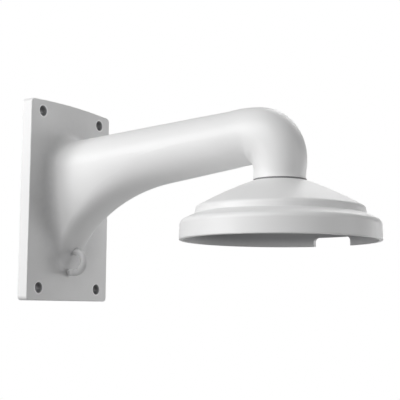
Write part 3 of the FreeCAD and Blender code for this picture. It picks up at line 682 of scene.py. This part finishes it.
def ridge_mesh(name, settings, axis, low):
    """A cut thread: a three-cornered ridge that climbs a bore's wall as a helix.

    Along the path the height is the angle times pitch / turn. The ridge's width and height
    grow with the angle from either end until they are full.
    """
    turns = settings.tapped_depth / settings.pitch
    path = np.linspace(0, turns * TURN, int(turns * settings.ridge_steps))
    fade = np.clip(np.minimum(path, path[-1] - path) / RIDGE_FADE, RIDGE_END, 1)
    wall = np.full_like(path, settings.tapped / 2 + settings.ridge_root)
    crest = settings.tapped / 2 - settings.ridge * fade
    rise = low + path / TURN * settings.pitch
    half = settings.pitch * settings.ridge_half * fade
    corners = ((wall, rise - half), (wall, rise + half), (crest, rise))
    rings = np.stack([np.stack([axis[0] + radius * np.cos(path), axis[1] + radius * np.sin(path),
                                height], -1) for radius, height in corners], 1)
    return closed_mesh(name, rings, rings[0].mean(0), rings[-1].mean(0))


def camera_bores():
    """The lowest points of the axes of the tapped camera bores."""
    middle = Vector(MOUNTS["camera_screws"]["pos_m"])
    radius = CAMERA_SCREWS["pcd_mm"] / 2 * MM
    for turn in BORE_TURNS:
        yield middle.x + radius * math.cos(turn), middle.y + radius * math.sin(turn), middle.z


class BRACKET_OT_castings(Operator):
    """Coat the arm and the cap in white powder."""

    bl_idname = "bracket.castings"
    bl_label = "Coat the castings"

    def execute(self, context):
        settings = context.scene.bracket_coat
        dress("bracket_arm", casting_material("arm_powder_coat", settings, arm_darkened_parts))
        dress("dome_cap", casting_material("cap_powder_coat", settings, cap_painted_shade))
        return {"FINISHED"}


class BRACKET_OT_gasket(Operator):
    """Finish the gasket between the neck and the cap."""

    bl_idname = "bracket.gasket"
    bl_label = "Finish the gasket"

    def execute(self, context):
        dress("neck_gasket", rubber_material(context.scene.bracket_metal))
        return {"FINISHED"}


class BRACKET_OT_washers(Operator):
    """Finish the flat washers and the lock washers."""

    bl_idname = "bracket.washers"
    bl_label = "Finish the washers"

    def execute(self, context):
        for name in WASHERS:
            dress(name, steel(context))
        return {"FINISHED"}


class BRACKET_OT_screws(Operator):
    """Make the three socket screws, with their threads, in place of the plain ones."""

    bl_idname = "bracket.screws"
    bl_label = "Make the cap screws"

    def execute(self, context):
        settings = context.scene.bracket_screw
        for number, name in enumerate(SCREWS, start=1):
            low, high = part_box(name)
            mesh = screw_mesh(name, settings, centre(name), low[2], high[2])
            piece = add_piece(f"socket_screw_{number}", mesh, steel(context))
            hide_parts(name)
        return {"FINISHED"}


class BRACKET_OT_threads(Operator):
    """Cut the threads of the three camera bores."""

    bl_idname = "bracket.threads"
    bl_label = "Cut the camera threads"

    def execute(self, context):
        settings = context.scene.bracket_screw
        for number, (x, y, z) in enumerate(camera_bores(), start=1):
            mesh = ridge_mesh(f"camera_thread_{number}", settings, (x, y), z)
            add_piece(f"camera_thread_{number}", mesh, steel(context))
        return {"FINISHED"}


# The studio


def camera_matrix(settings):
    """Where the camera stands, from its turn, tilt, roll, distance and aim."""
    forward = Vector((
        -math.sin(settings.turn) * math.cos(settings.tilt),
        math.cos(settings.turn) * math.cos(settings.tilt),
        math.sin(settings.tilt)))
    level = forward.cross(Vector((0, 0, 1))).normalized()
    over = level.cross(forward)
    right = level * math.cos(settings.roll) + over * math.sin(settings.roll)
    up = right.cross(forward)
    turned = Matrix((right, up, -forward)).transposed().to_4x4()
    return Matrix.Translation(Vector(settings.aim) - forward * settings.distance) @ turned


def add_camera(settings):
    """The camera at the photograph's angle."""
    lens = bpy.data.cameras.new("camera")
    lens.sensor_width = SENSOR
    lens.lens = settings.lens
    lens.clip_start, lens.clip_end = NEAREST, FARTHEST
    camera = bpy.data.objects.new("camera", lens)
    camera.matrix_world = camera_matrix(settings)
    bpy.context.scene.collection.objects.link(camera)
    bpy.context.scene.camera = camera


def add_lamp(settings, name, turn, rise, power):
    """A round soft lamp that shines on the middle of the view."""
    data = bpy.data.lights.new(name, "AREA")
    data.shape = "DISK"
    data.size = settings.lamp_size
    data.energy = power
    turn, rise = math.radians(turn), math.radians(rise)
    away = Vector((math.cos(rise) * math.cos(turn), math.cos(rise) * math.sin(turn),
                   math.sin(rise)))
    lamp = bpy.data.objects.new(name, data)
    lamp.location = Vector(settings.aim) + away * settings.lamp_distance
    lamp.rotation_euler = away.to_track_quat("Z", "Y").to_euler()
    bpy.context.scene.collection.objects.link(lamp)


def direct_rays(tree, gloss):
    """1 for rays that come from the camera or through glass, and a share for gloss."""
    path = add_node(tree, "LightPath").outputs
    return largest(tree, path["Is Camera Ray"], path["Is Transmission Ray"],
                   product(tree, path["Is Glossy Ray"], gloss))


def add_floor(settings):
    """A wide plain floor, which keeps the shadow and fades to the backdrop's white."""
    drop = CAD_BOX[0].z - settings.floor_drop
    corners = [(x * FLOOR_REACH, y * FLOOR_REACH, drop)
               for x, y in ((-1, -1), (1, -1), (1, 1), (-1, 1))]
    mesh = bpy.data.meshes.new("floor")
    mesh.from_pydata(corners, [], [range(len(corners))])
    floor = bpy.data.objects.new("floor", mesh)
    material, tree, shader, place = fresh_material("plain_floor")
    feed(tree, shader.inputs["Base Color"], settings.floor)
    shader.inputs["Roughness"].default_value = FLOOR_ROUGHNESS
    where = split(tree, place)
    away = flat_distance(tree, where["X"], where["Y"])
    far = ramp(tree, away, settings.floor_clear, settings.floor_faded)
    lifted = largest(tree, far, settings.floor_white)
    factor = product(tree, lifted, direct_rays(tree, settings.gloss))
    white = add_node(tree, "Emission", {"Strength": 1.0, "Color": (1, 1, 1)})
    mixed = add_node(tree, "MixShader", {"Fac": factor, 1: shader.outputs[0],
                                         2: white.outputs[0]})
    feed(tree, tree.nodes["Material Output"].inputs["Surface"], mixed.outputs[0])
    floor.data.materials.append(material)
    bpy.context.scene.collection.objects.link(floor)


def add_backdrop(settings):
    """A white backdrop for what sees it, which gives no light of its own."""
    world = bpy.data.worlds.new("studio")
    bpy.context.scene.world = world
    world.use_nodes = True
    tree = world.node_tree
    backdrop = tree.nodes["Background"]
    feed(tree, backdrop.inputs["Color"], (1, 1, 1))
    feed(tree, backdrop.inputs["Strength"], direct_rays(tree, settings.gloss))


class BRACKET_OT_stage(Operator):
    """Set the floor, the backdrop, the lamps and the camera."""

    bl_idname = "bracket.stage"
    bl_label = "Set the stage"

    def execute(self, context):
        settings = context.scene.bracket_stage
        add_floor(settings)
        add_backdrop(settings)
        for name in LAMPS:
            add_lamp(settings, name + "_lamp", *getattr(settings, name))
        add_camera(settings)
        context.scene.view_settings.view_transform = "Standard"
        return {"FINISHED"}


class BRACKET_PT_sidebar(Panel):
    """The bracket's steps, one button each."""

    bl_label = "Camera wall bracket"
    bl_idname = "BRACKET_PT_sidebar"
    bl_space_type = "VIEW_3D"
    bl_region_type = "UI"
    bl_category = "Bracket"

    def draw(self, context):
        for operator in OPERATORS:
            self.layout.operator(operator.bl_idname)


SETTINGS = {"bracket_coat": CoatSettings, "bracket_metal": MetalSettings,
            "bracket_screw": ScrewSettings, "bracket_stage": StageSettings}
OPERATORS = (BRACKET_OT_castings, BRACKET_OT_gasket, BRACKET_OT_washers, BRACKET_OT_screws,
             BRACKET_OT_threads, BRACKET_OT_stage)


def register():
    """Make the settings, the operators and the panel known."""
    for kind in (*SETTINGS.values(), *OPERATORS, BRACKET_PT_sidebar):
        bpy.utils.register_class(kind)
    for name, kind in SETTINGS.items():
        setattr(bpy.types.Scene, name, PointerProperty(type=kind))


def unregister():
    """Take them away again."""
    for name in SETTINGS:
        delattr(bpy.types.Scene, name)
    for kind in reversed((*SETTINGS.values(), *OPERATORS, BRACKET_PT_sidebar)):
        bpy.utils.unregister_class(kind)


def main():
    """Run every step in order."""
    register()
    bpy.ops.bracket.castings()
    bpy.ops.bracket.gasket()
    bpy.ops.bracket.washers()
    bpy.ops.bracket.screws()
    bpy.ops.bracket.threads()
    bpy.ops.bracket.stage()


if __name__ == "__main__":
    main()
